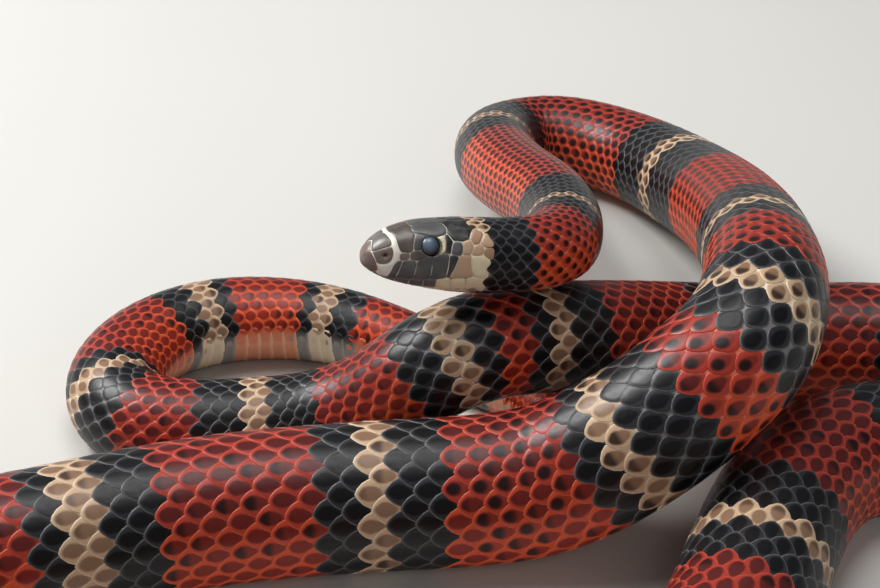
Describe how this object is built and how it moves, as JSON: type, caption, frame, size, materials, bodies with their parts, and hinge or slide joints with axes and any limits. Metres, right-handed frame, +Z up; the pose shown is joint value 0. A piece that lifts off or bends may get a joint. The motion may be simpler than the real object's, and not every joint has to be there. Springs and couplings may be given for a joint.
{
  "type": "milk snake model",
  "caption": "Life-size still model of a milk snake lying in loose crossing coils, its head resting over its own body.",
  "frame": {"origin": "on the floor, under the middle of the coils' box", "axes": "+Z up; -X the way the head points, turned a little towards -Y; -Y the side the picture is taken from"},
  "size_m": [0.3005, 0.2457, 0.0558],
  "materials": {
    "body_scales": "satin",
    "belly_scutes": "satin",
    "head_plates": "satin",
    "lip_plates": "satin",
    "eye_cap": "gloss"
  },
  "bodies": {
    "root": {"neck": "body_scales", "trunk_01": "body_scales", "trunk_02": "body_scales", "trunk_03": "body_scales", "trunk_04": "body_scales", "trunk_05": "body_scales", "trunk_06": "body_scales", "trunk_07": "body_scales", "trunk_08": "body_scales", "trunk_09": "body_scales", "trunk_10": "body_scales", "trunk_11": "body_scales", "trunk_12": "body_scales", "trunk_13": "body_scales", "tail_base": "body_scales", "tail": "body_scales", "head": "head_plates", "lower_jaw": "lip_plates", "eye_left": "eye_cap", "eye_right": "eye_cap"}
  },
  "joints": []
}
